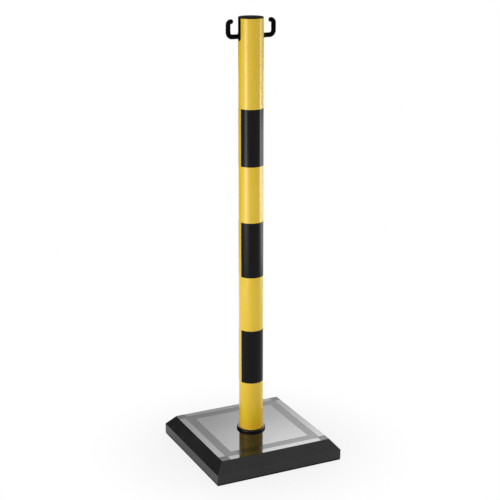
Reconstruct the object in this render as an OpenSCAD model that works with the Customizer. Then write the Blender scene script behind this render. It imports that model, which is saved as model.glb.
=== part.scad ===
// Weighted base bollard: a yellow and black post with a two-hook chain head,
// bolted to a square bevelled base that is filled with concrete.
// The origin is on the floor under the post, Z points up, and the hooks lie along X.

/* [Base] */
// Side of the square base
base_w = 280; // [240:1:400]
// Height of the base's top face above the floor
base_h = 42.5; // [40:0.5:70]
// Height above the floor at which the upright side turns into the bevel
side_h = 21.5; // [12:0.5:28]
// How far the bevel runs in from the side
bevel_in = 18; // [10:0.5:26]
// Wall of the moulded shell
shell_wall = 3; // [2:0.1:4]
// Radius along the shell's outer edges
edge_r = 1.2; // [0.4:0.1:2]
// Radius of the shell's upright corners
corner_r = 2; // [1.5:0.5:6]
// Gap between the floor and the shell's lower edge
floor_gap = 2; // [1:0.5:4]

/* [Pattern in the top face] */
// Width of the glossy strips along the top's edges
strip_w = 14.5; // [8:0.5:20]
// Width of the textured frame inside the strips
frame_w = 18.5; // [8:0.5:26]
// Side of the textured squares in the corners
corner_patch = 19; // [10:0.5:24]
// Depth of the textured areas below the top face
pattern_depth = 0.4; // [0.2:0.1:1]

/* [Inside of the base] */
// Thickness of the stiffening ribs under the top
rib_t = 2.5; // [1.5:0.1:4]
// Depth of the ribs
rib_h = 12; // [6:0.5:16]
// Outer diameter of the screw bosses
boss_d = 10; // [9:0.5:14]
// Distance from the base's side to the screws and feet
foot_in = 28; // [25:1:45]
// Thickness of the bottom plate
plate_t = 4; // [3.5:0.1:6]

/* [Feet and screws] */
// Diameter of a rubber foot
foot_d = 24; // [16:1:30]
// Depth of the pocket that holds a foot
foot_pocket = 1; // [0.6:0.1:1.2]
// Diameter of the plate screws
screw_d = 4.2; // [3:0.1:5]
// Length of the plate screws
screw_len = 25; // [12:1:30]
// Width of the screw's cross recess
recess_w = 0.9; // [0.6:0.1:1.2]

/* [Collar] */
// Width of the collar's rim around the post
collar_rim = 5; // [3:0.5:10]
// Height of the collar above the base
collar_h = 5; // [3.5:0.5:20]
// Thickness of the floor that the post stands on
collar_floor = 2; // [1.5:0.5:3]
// Diameter of the spigot that locates the collar in the base
spigot_d = 30; // [26:0.5:34]
// Length of the spigot below the base's top face
spigot_len = 15; // [8:0.5:18]

/* [Post] */
// Outside diameter of the post
post_d = 50; // [46:0.5:60]
// Wall of the post
post_wall = 2.5; // [1.5:0.1:3]
// Height of the whole bollard
overall_h = 905; // [860:1:1200]
// Width of the slots for the head's legs
slot_w = 11; // [10.2:0.1:14]
// Depth of the slots below the post's rim
slot_len = 43.5; // [42:0.5:46]

/* [Bands] */
// Height of a black band
band_len = 115; // [60:1:150]
// Height of yellow between two bands
band_gap = 115; // [40:1:160]
// Height of yellow between the collar and the lowest band
band_foot = 105; // [40:1:200]
// Thickness of the black film
film_t = 0.2; // [0.1:0.05:0.5]
// Thickness of the glue under the film
glue_t = 0.05; // [0.02:0.01:0.1]
// Width of the yellow line that the film leaves open
film_open = 17; // [4:0.5:30]
// How far behind the left hook the middle of that line lies, in degrees
film_turn = 7; // [0:1:45]

/* [Head] */
// Thickness of the disc that closes the post
cap_t = 2; // [1.5:0.1:6]
// Radius along the disc's upper edge
cap_edge_r = 0.8; // [0.3:0.1:1.4]
// Length of the skirt inside the post
skirt_len = 52; // [48:1:90]
// Wall of the skirt
skirt_wall = 2.4; // [1.6:0.1:4]
// Height of the cone that leads the skirt into the post
lead_in = 3; // [1:0.5:6]
// How far a leg stands proud of the post
leg_proud = 0.5; // [0.2:0.1:2]

/* [Hooks] */
// Diameter of the hook's bar
hook_bar_d = 9.4; // [7:0.1:10]
// Clear gap between the post and the hook's arm
hook_throat = 19; // [14:0.1:40]
// Depth of the bar's centre below the post's rim
hook_drop = 34.8; // [30:0.1:36]
// Height of the hook's tip above the bar, between centres
hook_rise = 29.3; // [20:0.1:60]
// Bend at the foot of the arm, to the bar's centre
hook_corner_r = 8.5; // [6:0.1:10]
// Bend at the top of the arm, to the bar's centre
hook_curl_r = 6; // [5.5:0.1:8]
// Fillet between the bar and its leg
hook_root_r = 3.8; // [1:0.1:5]

/* [Bolt] */
// Diameter of the bolt that holds the post down
bolt_d = 12; // [8:1:12]
// Height from the post's lower end to the nut's seat
nut_seat = 25; // [15:1:60]
// Length of bolt beyond the nut
bolt_over = 4.7; // [1:0.1:10]
// Outside diameter of the load-spreading washer
washer_d = 37; // [28:1:50]
// Thickness of the load-spreading washer
washer_t = 3; // [1.5:0.5:5]
// Thickness of the split lock washer
lock_t = 2.5; // [1.5:0.1:3.5]
// Wall of the plug in the post's lower end
plug_wall = 2.5; // [1.5:0.1:3]

/* [Clearances] */
// Clearance on each side between parts that slide together
slide_fit = 0.15; // [0.1:0.05:0.4]
// Clearance on each side between the shell and the cast block
pour_gap = 0.3; // [0.2:0.1:1]
// Clearance on each side around bolts and screws
bolt_fit = 0.5; // [0.2:0.1:1]
// Clearance on each side between a plain shank and its thread
thread_fit = 0.1; // [0.05:0.05:0.2]

/* [Hidden] */
$fn = 96;

black = [0.07, 0.07, 0.075];
yellow = [0.87, 0.73, 0.2];
concrete = [0.62, 0.61, 0.58];
steel = [0.7, 0.71, 0.73];

// A little more than nothing, so that a cut passes right through
eps = 0.5;

// Steps in the arc of a small rounded edge
arc_steps = 4;

// Slope of the bevel, and the base's half widths
bevel_angle = atan2(base_h - side_h, bevel_in);
half_w = base_w / 2;
top_half = half_w - bevel_in;

// Levels of the plate, and the height of a foot, on which the screw's head rests
plate_top = floor_gap + plate_t;
foot_t = floor_gap + foot_pocket;
foot_at = half_w - foot_in;

// Countersunk screws: head height follows from the cone of a right angle
screw_head_d = 1.9 * screw_d;
screw_head_h = (screw_head_d - screw_d) / 2;
recess_len = 0.6 * screw_head_d;
recess_depth = 0.6 * screw_head_h;

// Hexagon sizes follow the bolt's diameter
hex_flats = 1.5 * bolt_d;
hex_corners = hex_flats / cos(30);
bolt_head_h = 0.625 * bolt_d;
bolt_chamfer = bolt_d / 12;
nut_h = 0.9 * bolt_d;
bolt_hole_d = bolt_d + 2 * bolt_fit;

// The split washer reaches a little beyond the bolt's flats
lock_inner_r = (bolt_d + bolt_fit) / 2;
lock_outer_r = hex_flats / 2 + 1.5;
lock_split = 12;

// The bolt's stack, from the plate upwards
head_room = 1.5;
bolt_head_z = plate_top + head_room;
bolt_seat_z = bolt_head_z + bolt_head_h;
washer_z = bolt_seat_z + lock_t;
block_seat_z = washer_z + washer_t;

// The post and what it stands in
post_r = post_d / 2;
bore_r = post_r - post_wall;
post_z = base_h + collar_floor;
post_top = overall_h - cap_t;
collar_r = post_r + collar_rim;
collar_top = base_h + collar_h;
socket_r = post_r + slide_fit;
spigot_hole_d = spigot_d + 2 * slide_fit;
sleeve_d = spigot_hole_d + 2 * shell_wall;
sleeve_z = base_h - spigot_len;

// The plug, its nut and the bolt's reach
plug_r = bore_r - slide_fit;
nut_z = post_z + nut_seat;
bolt_end = nut_z + nut_h + bolt_over;
plug_floor = 3;
plug_cover = 1.5;
plug_h = nut_seat + nut_h + bolt_over + plug_cover;
plug_boss_wall = 3;
plug_boss_d = hex_corners + 2 * slide_fit + 2 * plug_boss_wall;
plug_web_t = 2.5;

// Bands and the angle that they leave open
band_pitch = band_len + band_gap;
band_z = collar_top + band_foot;
open_angle = 360 * film_open / (PI * post_d);

// The head's skirt and legs
skirt_r = bore_r - slide_fit;
skirt_mid_r = skirt_r - skirt_wall / 2;
skirt_z = post_top - skirt_len;
head_web_t = 2.4;
leg_w = slot_w - 2 * slide_fit;
leg_z = post_top - slot_len + slide_fit;
leg_r = post_r + leg_proud;
leg_top = overall_h - cap_edge_r / 2;

// The hook's centre line: bar, corner, arm, curl and tip
hook_z = post_top - hook_drop;
arm_x = post_r + hook_throat + hook_bar_d / 2;
bar_len = arm_x - hook_corner_r - post_r;
arm_len = hook_rise - hook_corner_r - hook_curl_r;

// Points of a rounded convex corner at b, between its neighbours a and c
function unit(v) = v / norm(v);
function rounded(a, b, c, r) =
    let (
        u = unit(a - b),
        v = unit(c - b),
        half = acos(u * v) / 2,
        centre = b + unit(u + v) * r / sin(half),
        first = b + u * r / tan(half) - centre,
        last = b + v * r / tan(half) - centre,
        from = atan2(first[1], first[0]),
        sweep = (atan2(last[1], last[0]) - from + 540) % 360 - 180
    )
    [for (i = [0 : arc_steps]) centre + r * [cos(from + sweep * i / arc_steps), sin(from + sweep * i / arc_steps)]];

// Right half of the base's section, drawn d inside its outer skin, from z0 upwards
function half_section(d, z0, r) =
    let (
        side_x = half_w - d,
        top_x = top_half - d * tan(bevel_angle / 2),
        shoulder = [side_x, side_h - d * tan((90 - bevel_angle) / 2)],
        brow = [top_x, base_h - d],
        low = [side_x, z0],
        crown = [0, base_h - d]
    )
    concat([low], rounded(low, shoulder, brow, r), rounded(shoulder, brow, crown, r));

function mirrored(points) = [for (i = [len(points) - 1 : -1 : 0]) [-points[i][0], points[i][1]]];

// Bevelled block with mitred corners, d inside the base's outer skin
module bevelled_block(d, z0, r) {
    outline = half_section(d, z0, r);
    section = concat(outline, mirrored(outline));
    intersection() {
        rotate([90, 0, 0])
            linear_extrude(base_w, center = true)
                polygon(section);
        rotate([90, 0, 90])
            linear_extrude(base_w, center = true)
                polygon(section);
    }
}

// Square with rounded corners
module rounded_square(w, r) {
    square([w, w - 2 * r], center = true);
    square([w - 2 * r, w], center = true);
    for (x = [-1, 1], y = [-1, 1])
        translate([x * (w / 2 - r), y * (w / 2 - r)])
            circle(r);
}

// Places its children at the four screws
module at_corners() {
    for (x = [-1, 1], y = [-1, 1])
        translate([x * foot_at, y * foot_at, 0])
            children();
}

// The textured areas of the top face: a frame and a square in each corner
module top_pattern() {
    outer = 2 * (top_half - strip_w);
    difference() {
        square(outer, center = true);
        square(outer - 2 * frame_w, center = true);
    }
    patch_at = top_half - corner_patch / 2;
    for (x = [-1, 1], y = [-1, 1])
        translate([x * patch_at, y * patch_at])
            square(corner_patch + eps, center = true);
}

// Ribs under the top, grown by gap on each side for the grooves in the block
module rib_cross(gap) {
    depth = rib_h + gap;
    top = base_h - shell_wall / 2;
    z = base_h - shell_wall - depth;
    for (turn = [0, 90])
        rotate([0, 0, turn])
            translate([-half_w, -rib_t / 2 - gap, z])
                cube([base_w, rib_t + 2 * gap, top - z]);
}

module base_shell() {
    color(black)
        difference() {
            union() {
                difference() {
                    intersection() {
                        bevelled_block(0, floor_gap, edge_r);
                        linear_extrude(base_h)
                            rounded_square(base_w, corner_r);
                    }
                    bevelled_block(shell_wall, floor_gap - eps, edge_r);
                }
                intersection() {
                    bevelled_block(shell_wall / 2, plate_top, edge_r);
                    union() {
                        rib_cross(0);
                        at_corners()
                            translate([0, 0, plate_top])
                                cylinder(d = boss_d, h = base_h);
                        translate([0, 0, sleeve_z])
                            cylinder(d = sleeve_d, h = base_h);
                    }
                }
            }
            translate([0, 0, sleeve_z - eps])
                cylinder(d = spigot_hole_d, h = base_h);
            at_corners()
                translate([0, 0, plate_top - eps])
                    cylinder(d = screw_d + 2 * thread_fit, h = foot_t + screw_len - plate_top + 2 * eps, $fn = 32);
            translate([0, 0, base_h - pattern_depth])
                linear_extrude(pattern_depth + eps)
                    top_pattern();
        }
}

module ballast_block() {
    color(concrete)
        difference() {
            bevelled_block(shell_wall + pour_gap, plate_top, edge_r);
            rib_cross(pour_gap);
            at_corners()
                cylinder(d = boss_d + 2 * pour_gap, h = base_h);
            translate([0, 0, sleeve_z - pour_gap])
                cylinder(d = sleeve_d + 2 * pour_gap, h = base_h);
            cylinder(d = bolt_hole_d, h = base_h);
            translate([0, 0, plate_top - eps])
                cylinder(d = washer_d + 2 * bolt_fit, h = block_seat_z - plate_top + eps);
        }
}

module base_plate() {
    plate_w = base_w - 2 * shell_wall - 2 * slide_fit;
    color(black)
        difference() {
            translate([0, 0, floor_gap])
                linear_extrude(plate_t)
                    rounded_square(plate_w, corner_r);
            at_corners() {
                translate([0, 0, floor_gap - eps])
                    cylinder(d = foot_d + 2 * slide_fit, h = foot_pocket + eps);
                screw_shape(bolt_fit / 2);
            }
        }
}

// Countersunk screw, grown by gap for its hole
module screw_shape(gap) {
    translate([0, 0, foot_t]) {
        cylinder(d1 = screw_head_d + 2 * gap, d2 = screw_d + 2 * gap, h = screw_head_h, $fn = 32);
        cylinder(d = screw_d + 2 * gap, h = screw_len, $fn = 32);
    }
}

module plate_screws() {
    color(steel)
        at_corners()
            difference() {
                screw_shape(0);
                for (turn = [0, 90])
                    rotate([0, 0, turn])
                        translate([-recess_len / 2, -recess_w / 2, foot_t - eps])
                            cube([recess_len, recess_w, recess_depth + eps]);
            }
}

// Rubber foot with a chamfered lower edge, in the corner given by x and y
module foot(x, y) {
    chamfer = floor_gap / 4;
    color(black)
        translate([x * foot_at, y * foot_at, 0]) {
            cylinder(d1 = foot_d - 2 * chamfer, d2 = foot_d, h = chamfer);
            translate([0, 0, chamfer])
                cylinder(d = foot_d, h = foot_t - chamfer);
        }
}

// Ring with a full round bead, a socket for the post and a spigot into the base
module post_collar() {
    bead_r = min(collar_rim - slide_fit, collar_h) / 2;
    color(black)
        difference() {
            union() {
                translate([0, 0, base_h])
                    cylinder(r = collar_r - bead_r, h = collar_h);
                translate([0, 0, base_h])
                    cylinder(r = collar_r, h = collar_h - bead_r);
                translate([0, 0, collar_top - bead_r])
                    rotate_extrude()
                        translate([collar_r - bead_r, 0])
                            circle(bead_r, $fn = 48);
                translate([0, 0, sleeve_z])
                    cylinder(d = spigot_d, h = spigot_len + eps);
            }
            translate([0, 0, post_z])
                cylinder(r = socket_r, h = collar_h);
            translate([0, 0, sleeve_z - eps])
                cylinder(d = bolt_hole_d, h = base_h);
        }
}

// Plug in the post's lower end: floor, ring, four webs and a boss with the nut's pocket
module post_plug() {
    web_from = (plug_boss_d - plug_boss_wall) / 2;
    color(black)
        translate([0, 0, post_z])
            difference() {
                union() {
                    cylinder(r = plug_r, h = plug_floor);
                    difference() {
                        cylinder(r = plug_r, h = plug_h);
                        cylinder(r = plug_r - plug_wall, h = plug_h + eps);
                    }
                    cylinder(d = plug_boss_d, h = plug_h);
                    for (turn = [0 : 90 : 270])
                        rotate([0, 0, turn])
                            translate([web_from, -plug_web_t / 2, 0])
                                cube([plug_r - plug_wall / 2 - web_from, plug_web_t, plug_h]);
                }
                translate([0, 0, -eps])
                    cylinder(d = bolt_hole_d, h = plug_h);
                translate([0, 0, nut_seat])
                    cylinder(d = hex_corners + 2 * slide_fit, h = plug_h, $fn = 6);
            }
}

module post_bolt() {
    color(steel) {
        translate([0, 0, bolt_head_z])
            intersection() {
                cylinder(d = hex_corners, h = bolt_head_h, $fn = 6);
                cylinder(d1 = hex_flats, d2 = hex_flats + 4 * bolt_head_h, h = bolt_head_h);
            }
        translate([0, 0, bolt_seat_z - eps])
            cylinder(d = bolt_d, h = bolt_end - bolt_seat_z - bolt_chamfer + eps);
        translate([0, 0, bolt_end - bolt_chamfer])
            cylinder(d1 = bolt_d, d2 = bolt_d - 2 * bolt_chamfer, h = bolt_chamfer);
    }
}

// Split spring washer under the bolt's head
module lock_washer() {
    color(steel)
        translate([0, 0, bolt_seat_z])
            rotate([0, 0, lock_split / 2])
                rotate_extrude(angle = 360 - lock_split)
                    translate([lock_inner_r, 0])
                        square([lock_outer_r - lock_inner_r, lock_t]);
}

module load_washer() {
    color(steel)
        translate([0, 0, washer_z])
            difference() {
                cylinder(d = washer_d, h = washer_t);
                translate([0, 0, -eps])
                    cylinder(d = bolt_hole_d, h = washer_t + 2 * eps);
            }
}

module post_nut() {
    color(steel)
        translate([0, 0, nut_z])
            difference() {
                cylinder(d = hex_corners, h = nut_h, $fn = 6);
                translate([0, 0, -eps])
                    cylinder(d = bolt_d + 2 * thread_fit, h = nut_h + 2 * eps);
            }
}

// Outline of a slot or leg with a round lower end at z, drawn across the post
module slot_outline(width, z, top) {
    translate([0, z + width / 2])
        circle(d = width);
    translate([-width / 2, z + width / 2])
        square([width, top - z - width / 2]);
}

module post_tube() {
    color(yellow)
        difference() {
            translate([0, 0, post_z])
                cylinder(r = post_r, h = post_top - post_z);
            translate([0, 0, post_z - eps])
                cylinder(r = bore_r, h = post_top - post_z + 2 * eps);
            rotate([90, 0, 90])
                linear_extrude(post_d + 2 * eps, center = true)
                    slot_outline(slot_w, post_top - slot_len, post_top + eps);
        }
}

// Film around the post, open along a line on the left
module band(index) {
    color(black)
        translate([0, 0, band_z + index * band_pitch])
            rotate([0, 0, 180 - film_turn + open_angle / 2])
                rotate_extrude(angle = 360 - open_angle)
                    translate([post_r + glue_t, 0])
                        square([film_t, band_len]);
}

// Round bar along X
module bar_run(length) {
    rotate([0, 90, 0])
        cylinder(d = hook_bar_d, h = length, $fn = 48);
}

// Quarter bend that starts along X and turns up
module bar_bend(r) {
    translate([0, 0, r])
        rotate([90, 0, 0])
            rotate([0, 0, -90])
                rotate_extrude(angle = 90)
                    translate([r, 0])
                        circle(d = hook_bar_d, $fn = 48);
}

// Half ball that closes a bar pointing along X
module bar_tip() {
    rotate([0, 90, 0])
        rotate_extrude()
            intersection() {
                circle(d = hook_bar_d, $fn = 48);
                square(hook_bar_d);
            }
}

// Turns what follows a quarter bend upright
module turned_up() {
    rotate([0, -90, 0])
        children();
}

// One hook: bar, corner, arm, curl and tip, from its root outwards
module hook() {
    translate([post_r, 0, hook_z]) {
        bar_run(bar_len);
        translate([bar_len, 0, 0])
            bar_bend(hook_corner_r);
        translate([arm_x - post_r, 0, hook_corner_r])
            turned_up() {
                bar_run(arm_len);
                translate([arm_len, 0, 0]) {
                    bar_bend(hook_curl_r);
                    translate([hook_curl_r, 0, hook_curl_r])
                        turned_up()
                            bar_tip();
                }
            }
    }
}

// Concave fillet around the bar where it leaves the leg
module hook_root() {
    reach = hook_bar_d / 2 + hook_root_r;
    translate([0, 0, hook_z])
        rotate([0, 90, 0])
            rotate_extrude()
                difference() {
                    square([reach, leg_r + hook_root_r]);
                    translate([reach, leg_r + hook_root_r])
                        circle(hook_root_r, $fn = 48);
                }
}

// Leg that fills the slot, with the fillet of its hook
module leg() {
    intersection() {
        rotate([90, 0, 90])
            linear_extrude(leg_r + hook_root_r + eps)
                slot_outline(leg_w, leg_z, leg_top);
        difference() {
            union() {
                translate([0, 0, skirt_z])
                    cylinder(r = leg_r, h = leg_top - skirt_z);
                hook_root();
            }
            translate([0, 0, skirt_z - eps])
                cylinder(r = skirt_mid_r, h = post_top - skirt_z + eps);
        }
    }
}

// Skirt with a lead-in cone and two crossed webs
module skirt() {
    difference() {
        union() {
            translate([0, 0, skirt_z + lead_in])
                cylinder(r = skirt_r, h = skirt_len - lead_in + cap_t / 2);
            translate([0, 0, skirt_z])
                cylinder(r1 = skirt_r - skirt_wall / 2, r2 = skirt_r, h = lead_in);
        }
        translate([0, 0, skirt_z - eps])
            cylinder(r = skirt_r - skirt_wall, h = skirt_len + eps);
    }
    intersection() {
        translate([0, 0, skirt_z + lead_in])
            cylinder(r = skirt_mid_r, h = skirt_len - lead_in + cap_t / 2);
        for (turn = [0, 90])
            rotate([0, 0, turn])
                translate([-post_r, -head_web_t / 2, skirt_z])
                    cube([post_d, head_web_t, skirt_len + cap_t / 2]);
    }
}

// Disc that closes the post, with a rounded upper edge
module cap_disc() {
    translate([0, 0, post_top])
        cylinder(r = post_r, h = cap_t - cap_edge_r);
    translate([0, 0, post_top])
        cylinder(r = post_r - cap_edge_r, h = cap_t);
    translate([0, 0, overall_h - cap_edge_r])
        rotate_extrude()
            translate([post_r - cap_edge_r, 0])
                intersection() {
                    circle(cap_edge_r, $fn = 32);
                    square(cap_edge_r);
                }
}

module hook_head() {
    color(black) {
        cap_disc();
        skirt();
        for (turn = [0, 180])
            rotate([0, 0, turn]) {
                leg();
                hook();
            }
    }
}

base_shell();
ballast_block();
base_plate();
plate_screws();
foot(-1, -1);  // foot_front_left
foot(1, -1);  // foot_front_right
foot(-1, 1);  // foot_back_left
foot(1, 1);  // foot_back_right
post_collar();
post_plug();
post_bolt();
lock_washer();
load_washer();
post_nut();
post_tube();
band(0);  // band_lower
band(1);  // band_middle
band(2);  // band_upper
hook_head();
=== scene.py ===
"""Dresses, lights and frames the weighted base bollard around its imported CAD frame.

Every size is in metres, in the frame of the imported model: the origin is on the floor under
the post, Z points up and the two hooks lie along X.
"""

import logging
import math
from dataclasses import dataclass, field
from enum import Enum
from itertools import product
from typing import Callable, Dict, List, Optional, Sequence, Tuple, Union

import bmesh
import bpy
from mathutils import Matrix, Vector


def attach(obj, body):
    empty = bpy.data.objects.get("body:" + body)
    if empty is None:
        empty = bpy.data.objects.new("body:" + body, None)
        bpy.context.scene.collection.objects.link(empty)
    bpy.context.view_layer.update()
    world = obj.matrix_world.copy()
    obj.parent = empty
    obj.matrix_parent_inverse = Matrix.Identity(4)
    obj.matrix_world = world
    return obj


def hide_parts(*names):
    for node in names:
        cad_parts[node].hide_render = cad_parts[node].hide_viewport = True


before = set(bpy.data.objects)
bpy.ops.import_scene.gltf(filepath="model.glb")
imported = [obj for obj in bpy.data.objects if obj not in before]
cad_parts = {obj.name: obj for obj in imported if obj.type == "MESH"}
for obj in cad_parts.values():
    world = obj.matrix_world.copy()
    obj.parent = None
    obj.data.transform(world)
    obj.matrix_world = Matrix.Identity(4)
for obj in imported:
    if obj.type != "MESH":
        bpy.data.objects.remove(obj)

LOG = logging.getLogger("bollard")
BODY = "root"
QUARTER_TURN = math.pi / 2

Colour = Tuple[float, float, float]
Point = Tuple[float, float, float]
Flat = Tuple[float, float]
Socket = bpy.types.NodeSocket
Feed = Union[Socket, float, int, Sequence[float]]
Given = Dict[str, Socket]
Mesh = bmesh.types.BMesh
Vert = bmesh.types.BMVert
Ring = List[Vert]


def screen(red: int, green: int, blue: int) -> Colour:
    """Turns a colour as a screen shows it into linear light.

    Args:
        red: The red channel, from 0 to 255.
        green: The green channel.
        blue: The blue channel.

    Returns:
        The same colour in linear light.
    """

    def channel(value: int) -> float:
        """Turns one channel into linear light, by the screen's standard curve."""
        share = value / 255
        return share / 12.92 if share <= 0.04045 else ((share + 0.055) / 1.055) ** 2.4

    return channel(red), channel(green), channel(blue)


def shaded(colour: Colour, share: float) -> Colour:
    """Multiplies a colour by one number."""
    return tuple(share * channel for channel in colour)


DUST = screen(150, 146, 138)


class Sheen(Enum):
    """How far a surface blurs what it reflects."""

    POLISHED = 0.07
    FROSTED = 0.14
    GLOSSY = 0.16
    SLEEK = 0.22
    PLATED = 0.24
    SATIN = 0.28
    GRAINED = 0.42
    DULL = 0.75
    STONY = 0.8


class Way(Enum):
    """The way over a lamp's face that its brightness changes in."""

    ACROSS = "X"
    UP = "Y"


class Effect(Enum):
    """An effect that several finishes share, by the name of its node group."""

    MOULD_GRAIN = "mould_grain"
    FLOW_RIPPLE = "flow_ripple"
    FINE_SCUFFS = "fine_scuffs"
    SETTLED_DUST = "settled_dust"
    TONE_DRIFT = "tone_drift"


class Area(Enum):
    """A part of the shell's surface that has a finish of its own, by the finish's name."""

    BODY = "shell_plastic"
    FRAME = "shell_frame"
    CORNERS = "shell_corners"


# Nodes


class NodeSheet:
    """Adds nodes to one tree and joins them, with plain numbers or sockets as inputs."""

    def __init__(self, tree: bpy.types.NodeTree) -> None:
        """Keeps the tree that the nodes go into."""
        self.tree = tree

    def feed(self, target: Socket, value: Feed) -> None:
        """Joins a socket to target, or sets target's own value.

        Args:
            target: The input that takes the value.
            value: A socket, a number, or the numbers of a vector or colour.
        """
        if isinstance(value, bpy.types.NodeSocket):
            self.tree.links.new(value, target)
        elif target.type == "RGBA" and not isinstance(value, (int, float)):
            target.default_value = (*value[:3], 1.0)
        else:
            target.default_value = value

    def add(
        self, kind: str, settings: Optional[Dict[str, object]] = None, **inputs: Feed
    ) -> bpy.types.Node:
        """Adds one node.

        Args:
            kind: The node's type, such as ShaderNodeMath.
            settings: Properties of the node itself.
            **inputs: Its inputs by name, with _ for a space.

        Returns:
            The new node.
        """
        node = self.tree.nodes.new(kind)
        for name, value in (settings or {}).items():
            setattr(node, name, value)
        for name, value in inputs.items():
            self.feed(node.inputs[name.replace("_", " ")], value)
        return node

    def through(self, kind: str, settings: Dict[str, object], *values: Feed) -> Socket:
        """Adds one node that takes its inputs in order.

        Args:
            kind: The node's type.
            settings: Properties of the node itself.
            *values: Its first inputs.

        Returns:
            Its first output.
        """
        node = self.add(kind, settings)
        for target, value in zip(node.inputs, values):
            self.feed(target, value)
        return node.outputs[0]

    def maths(self, operation: str, *values: Feed) -> Socket:
        """Works one sum out for each point of the surface."""
        return self.through("ShaderNodeMath", {"operation": operation}, *values)

    def times(self, first: Feed, second: Feed) -> Socket:
        """Multiplies two values."""
        return self.maths("MULTIPLY", first, second)

    def plus(self, first: Feed, second: Feed) -> Socket:
        """Adds two values."""
        return self.maths("ADD", first, second)

    def inverse(self, mask: Feed) -> Socket:
        """Gives 1 less a mask."""
        return self.maths("SUBTRACT", 1.0, mask)

    def above(self, value: Feed, limit: Feed) -> Socket:
        """Gives 1 where value is over limit, and 0 elsewhere."""
        return self.maths("GREATER_THAN", value, limit)

    def ramp(self, value: Feed, low: float, high: float, start: float = 0.0, end: float = 1.0) -> Socket:
        """Turns one range of numbers smoothly into another, held at both ends.

        Args:
            value: The number to turn.
            low: Where the first range starts.
            high: Where it ends.
            start: What low turns into.
            end: What high turns into.

        Returns:
            The number in the second range.
        """
        return self.add(
            "ShaderNodeMapRange", {"interpolation_type": "SMOOTHSTEP"},
            Value=value, From_Min=low, From_Max=high, To_Min=start, To_Max=end,
        ).outputs["Result"]

    def blend(self, share: Feed, first: Feed, second: Feed) -> Socket:
        """Mixes two colours.

        Args:
            share: The second colour's share, from 0 to 1.
            first: The colour where the share is 0.
            second: The colour where it is 1.

        Returns:
            The mixed colour.
        """
        node = self.add("ShaderNodeMix", {"data_type": "RGBA"}, Factor=share)
        colours = [socket for socket in node.inputs if socket.type == "RGBA"]
        for target, colour in zip(colours, (first, second)):
            self.feed(target, colour)
        return next(socket for socket in node.outputs if socket.type == "RGBA")

    def between(self, share: Feed, first: Feed, second: Feed) -> Socket:
        """Mixes two numbers: first where share is 0, second where it is 1."""
        return self.add("ShaderNodeMix", {"data_type": "FLOAT"}, Factor=share, A=first, B=second).outputs[0]

    def mix_shaders(self, share: Feed, first: Socket, second: Socket) -> Socket:
        """Mixes two shaders: first where share is 0, second where it is 1."""
        return self.through("ShaderNodeMixShader", {}, share, first, second)

    def sized(self, position: Feed, size: Feed) -> Socket:
        """Divides a position by a size, so that a pattern one unit wide takes that size."""
        scale, sums = self.maths("DIVIDE", 1.0, size), {"operation": "SCALE"}
        return self.add("ShaderNodeVectorMath", sums, Vector=position, Scale=scale).outputs[0]

    def stretched(self, position: Feed, scale: Point) -> Socket:
        """Multiplies a position by a number for each axis."""
        return self.through("ShaderNodeVectorMath", {"operation": "MULTIPLY"}, position, scale)

    def noise(self, position: Feed, scale: float = 1.0, detail: float = 2.0, rough: float = 0.5) -> Socket:
        """Gives soft noise from 0 to 1 at a position."""
        node = self.add("ShaderNodeTexNoise", Vector=position, Scale=scale, Detail=detail, Roughness=rough)
        return node.outputs["Fac"]

    def cells(self, position: Feed, scale: float, edges: str = "F1") -> bpy.types.NodeOutputs:
        """Divides space into cells, and gives the outputs Distance and Color."""
        return self.add("ShaderNodeTexVoronoi", {"feature": edges}, Vector=position, Scale=scale).outputs

    def place(self) -> Tuple[Socket, Socket, Socket, Socket]:
        """Gives the position in the row frame, and its three parts."""
        position = self.add("ShaderNodeTexCoord").outputs["Object"]
        return (position, *self.add("ShaderNodeSeparateXYZ", Vector=position).outputs)

    def group(self, tree: bpy.types.NodeTree, **inputs: Feed) -> Socket:
        """Places a shared group with its own values, and gives its output."""
        return self.add("ShaderNodeGroup", {"node_tree": tree}, **inputs).outputs[0]


@dataclass(frozen=True)
class EffectPlan:
    """What an effect's group takes in beside Position, what it puts out, and what draws it."""

    inputs: Dict[str, float]
    output: str
    draw: Callable[[NodeSheet, Given], Socket]


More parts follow.
